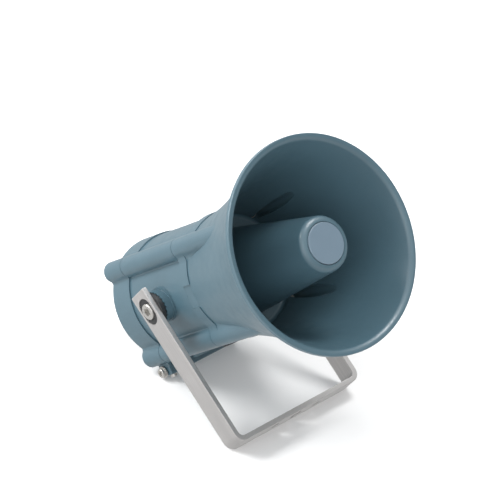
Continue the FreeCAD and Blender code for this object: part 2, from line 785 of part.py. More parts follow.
def make_driver_cap():
    """Front casting of the driver: mounting flange, skirt on the magnet and hub for the plug."""
    flange = cyl(driver_cap_r, shoulder_front_z, driver_cap_front_z)
    flange = flange.makeChamfer(1.0, edges_at_z(flange, driver_cap_front_z))
    skirt = ring(magnet_r - skirt_wall, magnet_r, top_plate_front_z, shoulder_front_z + 1)
    hub = cyl(hub_outer_r, clamp_front_z, shoulder_front_z + 1)
    cap = join([flange, skirt, hub])
    cuts = [cyl(plug_seat_r, plug_rear_z, shoulder_front_z), cyl(hub_inner_r, clamp_front_z - 1, plug_rear_z)]
    cuts.append(spun([(0, shoulder_front_z - 1), (plug_seat_r - plug_ledge, shoulder_front_z - 1),
                      (plug_seat_r - plug_ledge, shoulder_front_z), (throat_start_r, driver_cap_front_z),
                      (throat_start_r, driver_cap_front_z + 1), (0, driver_cap_front_z + 1)]))
    cuts += around(cross_angles, driver_screw_pitch_r,
                   lambda x, y: cyl(m4[0] + shank_clearance, shoulder_front_z - 1, driver_cap_front_z + 1, x, y))
    cuts += around(column_angles, magnet_screw_pitch_r,
                   lambda x, y: cyl(m4[0] + shank_clearance, top_plate_front_z - 1, driver_cap_front_z + 1, x, y))
    return cap.cut(cuts)


def make_driver_screws():
    """Screws that hold the driver on the body's inner shoulder."""
    screw = socket_screw(m4, driver_cap_t + shoulder_depth - 1)
    return around(cross_angles, driver_screw_pitch_r,
                  lambda x, y: placed(screw, x, y, driver_cap_front_z, z_axis))


def make_magnet_screws():
    """Long screws that pull the magnet assembly onto the driver's cap."""
    screw = socket_screw(m4, driver_cap_front_z - magnet_front_z - 1)
    return around(column_angles, magnet_screw_pitch_r,
                  lambda x, y: placed(screw, x, y, driver_cap_front_z, z_axis))


def dome_ball(offset):
    """Ball whose surface follows the dome at a distance in front of it."""
    centre_z = diaphragm_z + dome_rise - dome_sphere_r
    return Part.makeSphere(dome_sphere_r + offset, Vector(0, 0, centre_z))


def make_diaphragm():
    """Domed diaphragm with its flat surround."""
    surround = ring(dome_r - 1, surround_r, diaphragm_z, diaphragm_z + diaphragm_t)
    shell = dome_ball(diaphragm_t).cut(dome_ball(0))
    shell = shell.common(cyl(dome_r, diaphragm_z, clamp_front_z + dome_rise + 2))
    return join([surround, shell])


def make_voice_coil():
    """Voice coil under the diaphragm, in the magnet's gap."""
    return ring(coil_inner_r, coil_outer_r, diaphragm_z - coil_length, diaphragm_z)


def make_diaphragm_clamp_ring():
    """Ring between the top plate and the cap around the diaphragm's surround."""
    return ring(surround_r + surround_gap, clamp_outer_r, top_plate_front_z, clamp_front_z)


def make_phase_plug():
    """Phase plug over the dome: radial slots around a central tip."""
    plug = join([cyl(plug_seat_r - fit_gap, plug_rear_z, shoulder_front_z),
                 spun([(0, shoulder_front_z - 1), (plug_slot_inner_r, shoulder_front_z - 1),
                       (plug_slot_inner_r, shoulder_front_z), (plug_tip_r, driver_cap_front_z),
                       (0, driver_cap_front_z)])])
    cuts = [dome_ball(diaphragm_t + plug_gap)]
    for k in range(plug_slot_count):
        slot = box(plug_slot_inner_r + 1, plug_slot_outer_r, -plug_slot_w / 2, plug_slot_w / 2, plug_rear_z - 1,
                   shoulder_front_z + 1)
        slot.rotate(origin, z_axis, 360.0 / plug_slot_count * k)
        cuts.append(slot)
    return plug.cut(cuts)


def make_top_plate():
    """Steel top plate of the magnet, tapped for the long screws."""
    plate = ring(gap_outer_r, magnet_r, magnet_front_z, top_plate_front_z)
    holes = around(column_angles, magnet_screw_pitch_r,
                   lambda x, y: cyl(m4[0] + fit_gap, magnet_front_z - 1, top_plate_front_z + 1, x, y))
    return plate.cut(holes)


def make_magnet_ring():
    """Ferrite ring magnet."""
    return ring(magnet_inner_r, magnet_r, back_plate_front_z, magnet_front_z)


def make_back_plate():
    """Steel back plate with the vented pole piece, in one piece."""
    plate = cyl(magnet_r, back_plate_rear_z, back_plate_front_z)
    plate = plate.makeChamfer(1.0, edges_at_z(plate, back_plate_rear_z))
    yoke = join([plate, cyl(pole_r, back_plate_front_z - 1, top_plate_front_z)])
    return yoke.cut(cyl(pole_vent_r, back_plate_rear_z - 1, top_plate_front_z + 1))


def make_chassis_plate():
    """Steel plate that carries the transformer and the terminals."""
    front_z = chassis_rear_z + chassis_t
    plate = cyl(chassis_r, chassis_rear_z, front_z)
    holes = around(column_angles, rib_screw_r, lambda x, y: cyl(m3[0] + 0.2, chassis_rear_z - 1, front_z + 1, x, y))
    holes += [cyl(m3[0] + fit_gap, chassis_rear_z - 1, front_z + 1, x, y) for x, y in strap_screw_places()]
    holes += [cyl(m3[0] + fit_gap, chassis_rear_z - 1, front_z + 1, x, y) for x, y in block_screw_places()]
    return plate.cut(holes)


def make_chassis_screws():
    """Screws of the chassis plate into the body's ribs."""
    screw = slotted_screw(m3, chassis_t + 8)
    return around(column_angles, rib_screw_r, lambda x, y: placed(screw, x, y, chassis_rear_z, -z_axis))


def make_transformer_core():
    """Laminated core of the line transformer: two windows around a central limb."""
    core = box(-core_width / 2, core_width / 2, core_y - core_stack / 2, core_y + core_stack / 2,
               strap_front_z, chassis_rear_z)
    windows = []
    for side in sides:
        near, far = side * core_limb, side * (core_width / 2 - core_limb)
        windows.append(box(min(near, far), max(near, far), core_y - core_stack, core_y + core_stack,
                           strap_front_z + core_limb, chassis_rear_z - core_limb))
    return core.cut(windows)


def make_transformer_winding():
    """Winding with its bobbin cheeks around the core's central limb."""
    gap = winding_clearance
    low, high = strap_front_z + core_limb + gap, chassis_rear_z - core_limb - gap
    reach_x = core_width / 2 - core_limb - gap
    reach_y = core_stack / 2 + winding_overhang
    cheek = 1.5
    coil = box(1 - reach_x, reach_x - 1, core_y - reach_y + 1, core_y + reach_y - 1, low, high)
    coil = coil.makeFillet(3.0, [e for e in coil.Edges if e.BoundBox.ZLength > high - low - 1e-3])
    cheeks = [box(-reach_x, reach_x, core_y - reach_y, core_y + reach_y, z, z + cheek) for z in (low, high - cheek)]
    limb = box(-core_limb, core_limb, core_y - core_stack / 2, core_y + core_stack / 2, low - 1, high + 1)
    return join([coil] + cheeks).cut(limb)


def strap_screw_places():
    """X and Y of the two screws of the transformer's strap."""
    x = core_width / 2 + strap_t + strap_foot / 2
    return [(-x, core_y), (x, core_y)]


def make_transformer_strap():
    """Folded strap over the core, with a foot on each side."""
    x0, x1 = core_width / 2, core_width / 2 + strap_t
    y0, y1 = core_y - strap_w / 2, core_y + strap_w / 2
    pieces = [box(-x1, x1, y0, y1, strap_front_z - strap_t, strap_front_z)]
    for side in sides:
        low, high = sorted((side * x0, side * x1))
        pieces.append(box(low, high, y0, y1, strap_front_z - strap_t, chassis_rear_z))
        low, high = sorted((side * x0, side * (x1 + strap_foot)))
        pieces.append(box(low, high, y0, y1, chassis_rear_z - strap_t, chassis_rear_z))
    strap = join(pieces)
    top_edges = edges_where(strap, lambda m: abs(m.z - strap_front_z + strap_t) < 1e-6 and abs(abs(m.x) - x1) < 1e-6)
    strap = strap.makeFillet(strap_t, top_edges)
    holes = [cyl(m3[0] + 0.2, chassis_rear_z - 3, chassis_rear_z + 1, x, y) for x, y in strap_screw_places()]
    return strap.cut(holes)


def make_strap_screws():
    """Screws of the transformer's strap into the chassis plate."""
    screw = slotted_screw(m3, strap_t + chassis_t)
    z = chassis_rear_z - strap_t
    return [placed(screw, x, y, z, -z_axis) for x, y in strap_screw_places()]


def block_screw_places():
    """X and Y of the two screws of the terminal block."""
    x = block_w * (0.5 - block_ear_share / 2)
    return [(-x, block_y), (x, block_y)]


def block_pole_places():
    """X of each pole of the terminal block."""
    usable = block_w * (1 - 2 * block_ear_share)
    pitch = usable / block_pole_count
    return [pitch * (k - (block_pole_count - 1) / 2) for k in range(block_pole_count)]


def make_terminal_block():
    """Moulded terminal block with a screw pocket and a wire hole for each pole."""
    y0, y1 = block_y - block_depth / 2, block_y + block_depth / 2
    body = box(-block_w / 2, block_w / 2, y0, y1, block_rear_z, chassis_rear_z)
    ear = block_w * block_ear_share
    cuts = []
    for side in sides:
        low, high = sorted((side * (block_w / 2 - ear), side * (block_w / 2 + 1)))
        cuts.append(box(low, high, y0 - 1, y1 + 1, block_rear_z - 1, chassis_rear_z - 5))
    for x in block_pole_places():
        cuts.append(cyl(m3[1] + 0.4, block_rear_z - 1, block_rear_z + block_pocket_depth, x, block_y))
        cuts.append(cyl(m3[0] + fit_gap, block_rear_z, block_rear_z + block_pocket_depth + 6, x, block_y))
        cuts.append(cyl_y(block_wire_hole_r, y0 - 1, y1 + 1, x, (chassis_rear_z + block_rear_z) / 2 + 1.5))
    for x, y in block_screw_places():
        cuts.append(cyl(m3[0] + 0.2, block_rear_z - 1, chassis_rear_z + 1, x, y))
    return body.cut(cuts)


def make_terminal_screws():
    """Clamping screws of the terminal block's poles."""
    screw = slotted_screw(m3, 4.0)
    z = block_rear_z + block_pocket_depth
    return [placed(screw, x, block_y, z, -z_axis) for x in block_pole_places()]


def make_block_screws():
    """Screws of the terminal block's ears into the chassis plate."""
    screw = slotted_screw(m3, 5.0 + chassis_t)
    return [placed(screw, x, y, chassis_rear_z - 5.0, -z_axis) for x, y in block_screw_places()]


def make_earth_insert():
    """Brass insert of the outer earth terminal."""
    return placed(insert(m5, earth_insert_length), -chin_half_width, earth_y, earth_z, -x_axis)


def make_earth_lock_washer():
    """Dark lock washer of the earth terminal, against the chin."""
    return placed(ring(m5[0] + shank_clearance, m5[1] - 0.3, -washer_t, 0), -chin_half_width - washer_t, earth_y,
                  earth_z, -x_axis)


def make_earth_washer():
    """Wide plain washer of the earth terminal."""
    return placed(ring(m5[0] + shank_clearance, earth_washer_r, -washer_t, 0), -chin_half_width - 2 * washer_t,
                  earth_y, earth_z, -x_axis)


def make_earth_screw():
    """Screw of the outer earth terminal."""
    return placed(socket_screw(m5, earth_insert_length + 2 * washer_t), -chin_half_width - 2 * washer_t, earth_y, earth_z,
                  -x_axis)


def make_chin_screw():
    """Small locking screw in the underside of the chin."""
    return placed(socket_screw((m3[0], m3[1] + 0.3, chin_screw_head_h), 8.0), chin_screw_x, chin_bottom_y,
                  chin_screw_z, -y_axis)


def make_entry_plug():
    """Hexagonal stopping plug in the second cable entry."""
    head = cyl(plug_head_r, 0, plug_head_h)
    head = head.makeChamfer(0.6, edges_at_z(head, plug_head_h))
    plug = join([head, cyl(entry_r - fit_gap, -plug_length, 0)]).cut(hexagon(5.2, plug_head_h - 2.5, plug_head_h + 1))
    return placed(plug, entry_x, entry_face_y - plug_washer_t, entry_z, -y_axis)


def make_entry_plug_washer():
    """Sealing washer under the stopping plug's head."""
    disc = ring(entry_r + fit_gap, plug_head_r + 0.5, -plug_washer_t, 0)
    return placed(disc, entry_x, entry_face_y - plug_washer_t, entry_z, -y_axis)


def obround_x(width, length, x0, x1):
    """Slot-shaped prism along X, long in Z."""
    straight = (length - width) / 2
    low, high = min(x0, x1), max(x0, x1)
    ends = [cyl_x(width / 2, low, high, 0, z) for z in (-straight, straight)]
    return join([box(low, high, -width / 2, width / 2, -straight, straight)] + ends)


def on_bracket(shape):
    """Shape drawn with the bracket's legs hanging along -Z, turned to its pose on the casing."""
    copy = shape.copy()
    turn = Placement(Vector(0, pivot_y, 0), Rotation(x_axis, bracket_angle - 180.0))
    copy.Placement = turn.multiply(copy.Placement)
    return copy


def make_u_bracket():
    """Bracket bent from one flat bar: a slot in each leg, three holes in the crossbar."""
    half, thick = bracket_width / 2, bar_thickness
    outer = box(-half, half, -bar_width / 2, bar_width / 2, -bracket_reach, leg_overrun)
    bends = edges_where(outer, lambda m: abs(m.z + bracket_reach) < 1e-6 and abs(m.y) < 1e-6)
    outer = outer.makeFillet(bend_inner_r + thick, bends)
    inner = box(thick - half, half - thick, -bar_width, bar_width, thick - bracket_reach, leg_overrun + 1)
    bends = edges_where(inner, lambda m: abs(m.z + bracket_reach - thick) < 1e-6 and abs(m.y) < 1e-6)
    inner = inner.makeFillet(bend_inner_r, bends)
    bar = outer.cut(inner)
    tips = edges_where(bar, lambda m: abs(m.z - leg_overrun) < 1e-6 and abs(abs(m.y) - bar_width / 2) < 1e-6)
    bar = bar.makeFillet(leg_corner, tips)
    flanks = edges_where(bar, lambda m: abs(abs(m.y) - bar_width / 2) < 1e-6)
    bar = bar.makeFillet(bar_edge, flanks)
    cuts = both_sides(lambda side: obround_x(slot_width, slot_length, side * (half + 1), side * (half - thick - 1)))
    cuts.append(cyl(base_centre_hole_r, -bracket_reach - 1, thick - bracket_reach + 1))
    cuts += both_sides(lambda side: cyl(base_side_hole_r, -bracket_reach - 1, thick - bracket_reach + 1,
                                        side * base_side_hole_x, 0))
    return on_bracket(bar.cut(cuts))


def make_ratchet(side):
    """Toothed disc between a leg and its boss, keyed into the leg's slot."""
    outer_x = side * (bracket_width / 2 - key_inset)
    disc = cyl_x(boss_r, side * ratchet_crest_x, side * leg_inner_x, 0, 0)
    key = obround_x(slot_width - 2 * key_clearance, slot_length - 2 * key_clearance,
                    side * (leg_inner_x - 1), outer_x)
    ratchet = join([disc, key])
    cuts = [cyl_x(m10[0] + shank_clearance, side * (ratchet_crest_x - 1), outer_x * 1.02, 0, 0),
            cyl_x(m10[1] + counterbore_clearance, side * ratchet_seat_x, outer_x * 1.02, 0, 0)]
    for groove in tooth_grooves(side, ratchet_crest_x, tooth_depth, 0.0):
        cuts.append(groove.translated(Vector(0, -pivot_y, 0)))
    return on_bracket(ratchet.cut(cuts))


def make_tilt_ratchets():
    """Both toothed ratchet discs."""
    return both_sides(make_ratchet)


def make_pivot_screws():
    """Low-head screws on the pivot axis."""
    length = ratchet_seat_x + spring_washer_t - pivot_insert_x + pivot_insert_length - 1.5
    screw = socket_screw(m10, length)
    x = ratchet_seat_x + spring_washer_t
    return both_sides(lambda side: placed(screw, side * x, pivot_y, 0, x_axis * side))


def make_pivot_spring_washers():
    """Spring washers under the heads of the pivot screws."""
    body = spring_washer(m10, m10[1] + 0.2)
    x = ratchet_seat_x + spring_washer_t
    return both_sides(lambda side: placed(body, side * x, pivot_y, 0, x_axis * side))


def make_pivot_inserts():
    """Threaded inserts in the pivot bosses."""
    bush = insert(m10, pivot_insert_length)
    return both_sides(lambda side: placed(bush, side * pivot_insert_x, pivot_y, 0, x_axis * side))


def rest_pitch():
    """Angle of the horn axis above the floor with the crossbar and the chin both on it."""
    turn = Rotation(x_axis, bracket_angle - 180.0)
    heel = turn.multVec(Vector(0, bar_width / 2 - bar_edge, bar_edge - bracket_reach)) + Vector(0, pivot_y, 0)
    run = heel.z - (chin_rear_z + chin_edge)
    rise = heel.y - (chin_bottom_y + chin_edge)
    return math.asin((bar_edge - chin_edge) / math.hypot(run, rise)) - math.atan2(rise, run)


nodes = {
    "rear_cover": make_rear_cover,
    "rear_cover_seal": make_cover_seal,
    "rear_cover_screws": make_cover_screws,
    "rear_cover_screw_washers": make_cover_screw_washers,
    "body_housing": make_body,
    "column_inserts": make_column_inserts,
    "horn_flare": make_horn_flare,
    "horn_seal": make_horn_seal,
    "horn_screws": make_horn_screws,
    "horn_screw_washers": make_horn_screw_washers,
    "throat_tube": make_throat_tube,
    "throat_screws": make_throat_screws,
    "throat_gasket": make_throat_gasket,
    "horn_reflector": make_reflector,
    "reflector_bolt": make_reflector_bolt,
    "reflector_bolt_washer": make_reflector_bolt_washer,
    "reflector_end_cap": make_reflector_end_cap,
    "driver_cap": make_driver_cap,
    "driver_screws": make_driver_screws,
    "magnet_screws": make_magnet_screws,
    "phase_plug": make_phase_plug,
    "diaphragm": make_diaphragm,
    "voice_coil": make_voice_coil,
    "diaphragm_clamp_ring": make_diaphragm_clamp_ring,
    "magnet_top_plate": make_top_plate,
    "magnet_ring": make_magnet_ring,
    "magnet_back_plate": make_back_plate,
    "chassis_plate": make_chassis_plate,
    "chassis_screws": make_chassis_screws,
    "transformer_core": make_transformer_core,
    "transformer_winding": make_transformer_winding,
    "transformer_strap": make_transformer_strap,
    "strap_screws": make_strap_screws,
    "terminal_block": make_terminal_block,
    "terminal_screws": make_terminal_screws,
    "terminal_block_screws": make_block_screws,
    "earth_insert": make_earth_insert,
    "earth_lock_washer": make_earth_lock_washer,
    "earth_washer": make_earth_washer,
    "earth_screw": make_earth_screw,
    "chin_screw": make_chin_screw,
    "cable_entry_plug": make_entry_plug,
    "cable_entry_plug_washer": make_entry_plug_washer,
    "u_bracket": make_u_bracket,
    "tilt_ratchets": make_tilt_ratchets,
    "pivot_screws": make_pivot_screws,
    "pivot_spring_washers": make_pivot_spring_washers,
    "pivot_inserts": make_pivot_inserts,
}


def solids_of(result):
    """List of solids from what a node's function returns."""
    shapes = result if isinstance(result, list) else [result]
    return [solid for shape in shapes for solid in shape.Solids]


def main():
    """Make every node, lay the whole on the floor and write one file for each."""
    os.makedirs("parts", exist_ok=True)
    pitch = rest_pitch()
    turn = Rotation(x_axis, 90.0 - math.degrees(pitch))
    made = {}
    for name, make in nodes.items():
        shape = Part.makeCompound(solids_of(make()))
        shape.Placement = Placement(origin, turn).multiply(shape.Placement)
        made[name] = shape
    bounds = Part.makeCompound(list(made.values())).optimalBoundingBox(False, False)
    shift = Vector(-bounds.Center.x, -bounds.Center.y, -bounds.ZMin)
    for name, shape in made.items():
        shape.translate(shift)
        shape.exportStep("parts/%s.step" % name)
    pivot = turn.multVec(Vector(0, pivot_y, 0)) + shift
    print("pitch %.3f degrees" % math.degrees(pitch))
    print("pivot at %.3f %.3f %.3f" % tuple(pivot))
    print("size %.3f %.3f %.3f" % (bounds.XLength, bounds.YLength, bounds.ZLength))
    for name, shape in made.items():
        b = shape.BoundBox
        print("%-26s solids %2d volume %10.0f valid %s low %.2f" % (name, len(shape.Solids), shape.Volume,
              all(s.isValid() for s in shape.Solids), b.ZMin))


main()
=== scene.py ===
import json
import logging
import math
from dataclasses import dataclass, field
from enum import Enum
from typing import Sequence

import bmesh
import bpy
import numpy as np
from mathutils import Matrix, Vector


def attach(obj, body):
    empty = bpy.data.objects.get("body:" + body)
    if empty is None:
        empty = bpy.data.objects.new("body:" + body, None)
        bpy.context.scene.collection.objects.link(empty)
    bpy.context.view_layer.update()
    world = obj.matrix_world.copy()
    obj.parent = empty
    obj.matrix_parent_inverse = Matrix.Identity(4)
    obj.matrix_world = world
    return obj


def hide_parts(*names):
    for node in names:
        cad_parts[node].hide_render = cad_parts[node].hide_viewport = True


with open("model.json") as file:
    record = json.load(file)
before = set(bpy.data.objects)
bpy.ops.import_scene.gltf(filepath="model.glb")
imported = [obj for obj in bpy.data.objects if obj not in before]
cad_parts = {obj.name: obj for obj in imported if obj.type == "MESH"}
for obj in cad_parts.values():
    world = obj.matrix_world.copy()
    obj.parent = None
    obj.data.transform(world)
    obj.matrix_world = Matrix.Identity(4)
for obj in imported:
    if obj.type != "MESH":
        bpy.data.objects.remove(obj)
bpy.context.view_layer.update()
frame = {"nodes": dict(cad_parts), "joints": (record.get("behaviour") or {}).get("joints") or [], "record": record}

log = logging.getLogger("loudspeaker")

Array = np.ndarray
Triple = tuple[float, float, float]
Socket = bpy.types.NodeSocket

# Degrees between the bracket's bar and the casing's own directions, at rest.
BRACKET_ANGLE = 75.3

# Almost all of a noise factor lies between these two.
NOISE_LOW, NOISE_HIGH = 0.3, 0.7


class Ray(Enum):
    """Kinds of ray that the studio answers in a way of their own, by their socket's name."""

    CAMERA = "Is Camera Ray"
    GLOSSY = "Is Glossy Ray"


@dataclass(frozen=True)
class CasingFrame:
    """The casing's own directions: to the side, up across the horn, and out of the mouth."""

    side: Array
    up: Array
    mouth: Array

    @classmethod
    def from_joints(cls, joints: Sequence[dict]) -> "CasingFrame":
        """Directions worked out from the diaphragm's stroke, which runs along the horn.

        Args:
            joints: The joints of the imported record.

        Returns:
            The frame of the casing at rest.
        """
        stroke = next(joint for joint in joints if joint["name"] == "diaphragm_stroke")
        side = np.array([1.0, 0.0, 0.0])
        mouth = np.array(stroke["axis"], float)
        mouth /= np.linalg.norm(mouth)
        return cls(side, np.cross(mouth, side), mouth)

    def bracket_turn(self) -> Triple:
        """Turn that lays the bracket's own directions on X, Y and Z, for its brushed lines."""
        angle = math.radians(BRACKET_ANGLE)
        across = -math.cos(angle) * self.up - math.sin(angle) * self.mouth
        along = math.sin(angle) * self.up - math.cos(angle) * self.mouth
        return tuple(Matrix([self.side.tolist(), across.tolist(), along.tolist()]).to_euler("XYZ"))


def srgb(red: int, green: int, blue: int) -> Triple:
    """Linear colour of an 8-bit screen colour: each channel through the screen's curve.

    Args:
        red: Red, 0 to 255.
        green: Green, 0 to 255.
        blue: Blue, 0 to 255.

    Returns:
        The three linear channels.
    """
    channels = (value / 255.0 for value in (red, green, blue))
    return tuple(c / 12.92 if c <= 0.04045 else ((c + 0.055) / 1.055) ** 2.4 for c in channels)


def linked(name: str, data: bpy.types.ID) -> bpy.types.Object:
    """New object in the scene.

    Args:
        name: The object's name.
        data: Its mesh, lamp or camera.

    Returns:
        The object, at the origin.
    """
    thing = bpy.data.objects.new(name, data)
    bpy.context.scene.collection.objects.link(thing)
    return thing


@dataclass
class Nodes:
    """Small helper around one node tree."""

    tree: bpy.types.NodeTree

    @classmethod
    def of(cls, owner: bpy.types.Material | bpy.types.World) -> "Nodes":
        """Empties the node tree of a material or a world.

        Args:
            owner: What the tree belongs to.

        Returns:
            The helper around the tree.
        """
        owner.use_nodes = True
        owner.node_tree.nodes.clear()
        return cls(owner.node_tree)

    def add(self, kind: str, **settings: object) -> bpy.types.Node:
        """New node with some of its settings and inputs.

        Args:
            kind: The node's type.
            **settings: Values of the node's own settings.

        Returns:
            The node.
        """
        node = self.tree.nodes.new(kind)
        for key, value in settings.items():
            setattr(node, key, value)
        return node

    def link(self, source: Socket, target: Socket) -> None:
        """Connects two sockets."""
        self.tree.links.new(source, target)

    def shader(self) -> bpy.types.Node:
        """Principled shader joined to a new output."""
        shader = self.add("ShaderNodeBsdfPrincipled")
        self.link(shader.outputs["BSDF"], self.add("ShaderNodeOutputMaterial").inputs["Surface"])
        return shader

    def is_ray(self, ray: Ray) -> Socket:
        """One for rays of a kind, nought for the others."""
        return self.add("ShaderNodeLightPath").outputs[ray.value]

    def placed(self, scale: Sequence[float], turn: Sequence[float] = (0.0, 0.0, 0.0)) -> Socket:
        """Object coordinates turned and then scaled.

        Args:
            scale: Scale along each turned axis.
            turn: Turn about X, Y and Z.

        Returns:
            The vector's socket.
        """
        where = self.add("ShaderNodeTexCoord")
        turned = self.add("ShaderNodeMapping", vector_type="POINT")
        turned.inputs["Rotation"].default_value = turn
        scaled = self.add("ShaderNodeMapping", vector_type="POINT")
        scaled.inputs["Scale"].default_value = scale
        self.link(where.outputs["Object"], turned.inputs["Vector"])
        self.link(turned.outputs["Vector"], scaled.inputs["Vector"])
        return scaled.outputs["Vector"]

    def noise(self, vector: Socket, scale: float, detail: float = 2.0) -> Socket:
        """Noise over a vector.

        Args:
            vector: Socket of the place.
            scale: Number of features in a unit of length.
            detail: Number of finer layers.

        Returns:
            The factor's socket.
        """
        noise = self.add("ShaderNodeTexNoise")
        noise.inputs["Scale"].default_value = scale
        noise.inputs["Detail"].default_value = detail
        self.link(vector, noise.inputs["Vector"])
        return noise.outputs["Fac"]

    def mapped(self, value: Socket, span: tuple[float, float], ends: tuple[float, float],
               interpolation: str = "LINEAR") -> Socket:
        """A value carried from one range to another and held at its ends.

        Args:
            value: Socket of the value.
            span: Where the growth starts and stops.
            ends: What comes out before and after.
            interpolation: How it grows in between.

        Returns:
            The new value's socket.
        """
        mapping = self.add("ShaderNodeMapRange", interpolation_type=interpolation)
        for key, number in zip(("From Min", "From Max", "To Min", "To Max"), (*span, *ends)):
            mapping.inputs[key].default_value = number
        self.link(value, mapping.inputs["Value"])
        return mapping.outputs["Result"]

    def spread(self, noise: Socket, low: float, high: float) -> Socket:
        """A noise factor spread over a range."""
        return self.mapped(noise, (NOISE_LOW, NOISE_HIGH), (low, high))

    def along(self, direction: Socket, side: Triple, span: tuple[float, float],
              ends: tuple[float, float]) -> Socket:
        """Value that grows smoothly with a direction's share along one side.

        Args:
            direction: Socket of the direction looked along.
            side: The side it is measured against.
            span: Shares at which the growth starts and stops.
            ends: Value before and after.

        Returns:
            The value's socket.
        """
        share = self.add("ShaderNodeVectorMath", operation="DOT_PRODUCT")
        share.inputs[1].default_value = Vector(side).normalized()
        self.link(direction, share.inputs[0])
        return self.mapped(share.outputs["Value"], span, ends, "SMOOTHSTEP")

    def tint(self, colour: Triple, strength: Socket) -> Socket:
        """A colour multiplied by a grey factor.

        Args:
            colour: The linear colour.
            strength: Socket of the factor.

        Returns:
            The tinted colour's socket.
        """
        mix = self.add("ShaderNodeMix", data_type="RGBA", blend_type="MULTIPLY")
        mix.inputs["Factor"].default_value = 1.0
        mix.inputs["A"].default_value = (*colour, 1.0)
        self.link(strength, mix.inputs["B"])
        return mix.outputs["Result"]

    def bump(self, height: Socket, distance: float, strength: float) -> Socket:
        """Normal of a bumpy surface.

        Args:
            height: Socket of the height.
            distance: Height of a full bump, in metres.
            strength: Share of it that is used.

        Returns:
            The normal's socket.
        """
        bump = self.add("ShaderNodeBump")
        bump.inputs["Distance"].default_value = distance
        bump.inputs["Strength"].default_value = strength
        self.link(height, bump.inputs["Height"])
        return bump.outputs["Normal"]


@dataclass(frozen=True)
class Finish:
    """A named look, from which a material can be made."""

    name: str
    colour: Triple

    def material(self) -> bpy.types.Material:
        """Makes the material and fills its node tree."""
        material = bpy.data.materials.new(self.name)
        self.fill(Nodes.of(material))
        return material

    def fill(self, nodes: Nodes) -> None:
        """Fills an empty node tree with the look."""
        raise NotImplementedError


@dataclass(frozen=True)
class MouldedFinish(Finish):
    """Glass-filled moulding: an even colour with faint clouding, fine speckle and soft grain."""

    roughness: float = 0.36
    cloud: float = 0.03
    cloud_scale: float = 28.0
    speckle: float = 0.02
    speckle_scale: float = 1500.0
    gloss_scale: float = 90.0
    gloss_range: tuple[float, float] = (-0.04, 0.05)
    grain: float = 0.03
    grain_scale: float = 2200.0
    grain_height: float = 0.0001
    specular: float = 0.9

    def fill(self, nodes: Nodes) -> None:
        """Clouds times speckle tint the colour, and a finer noise gives the grain."""
        shader = nodes.shader()
        place = nodes.placed((1.0, 1.0, 1.0))
        clouds = nodes.spread(nodes.noise(place, self.cloud_scale, 3.0), 1.0 - self.cloud, 1.0 + self.cloud)
        specks = nodes.spread(nodes.noise(place, self.speckle_scale, 1.0),
                              1.0 - self.speckle, 1.0 + self.speckle)
        both = nodes.add("ShaderNodeMath", operation="MULTIPLY")
        nodes.link(clouds, both.inputs[0])
        nodes.link(specks, both.inputs[1])
        gloss = nodes.spread(nodes.noise(place, self.gloss_scale, 3.0),
                             *(self.roughness + change for change in self.gloss_range))
        grain = nodes.bump(nodes.noise(place, self.grain_scale), self.grain_height, self.grain)
        nodes.link(nodes.tint(self.colour, both.outputs["Value"]), shader.inputs["Base Color"])
        nodes.link(gloss, shader.inputs["Roughness"])
        nodes.link(grain, shader.inputs["Normal"])
        shader.inputs["Specular IOR Level"].default_value = self.specular


@dataclass(frozen=True)
class BrushedFinish(Finish):
    """Metal with fine parallel lines: noise drawn out along the two directions of the bar."""

    turn: Triple = (0.0, 0.0, 0.0)
    stretch: Triple = (12.0, 900.0, 12.0)
    roughness: float = 0.34
    gloss_range: tuple[float, float] = (-0.06, 0.1)
    lines: float = 0.1
    line_height: float = 0.00005
    depth: float = 0.12
    metallic: float = 1.0

    def fill(self, nodes: Nodes) -> None:
        """The lines vary the colour, the roughness and the height together."""
        shader = nodes.shader()
        lines = nodes.noise(nodes.placed(self.stretch, self.turn), 1.0, 3.0)
        shade = nodes.spread(lines, 1.0 - self.lines, 1.0 + self.lines)
        gloss = nodes.spread(lines, *(self.roughness + change for change in self.gloss_range))
        nodes.link(nodes.tint(self.colour, shade), shader.inputs["Base Color"])
        nodes.link(gloss, shader.inputs["Roughness"])
        nodes.link(nodes.bump(lines, self.line_height, self.depth), shader.inputs["Normal"])
        shader.inputs["Metallic"].default_value = self.metallic


@dataclass(frozen=True)
class PlainFinish(Finish):
    """Even finish with a little variation of gloss."""

    roughness: float = 0.5
    metallic: float = 0.0
    gloss_scale: float = 400.0
    gloss_range: tuple[float, float] = (-0.04, 0.06)

    def fill(self, nodes: Nodes) -> None:
        """One colour, with a coarse noise in the roughness."""
        shader = nodes.shader()
        shader.inputs["Base Color"].default_value = (*self.colour, 1.0)
        shader.inputs["Metallic"].default_value = self.metallic
        noise = nodes.noise(nodes.placed((1.0, 1.0, 1.0)), self.gloss_scale)
        gloss = nodes.spread(noise, *(self.roughness + change for change in self.gloss_range))
        nodes.link(gloss, shader.inputs["Roughness"])


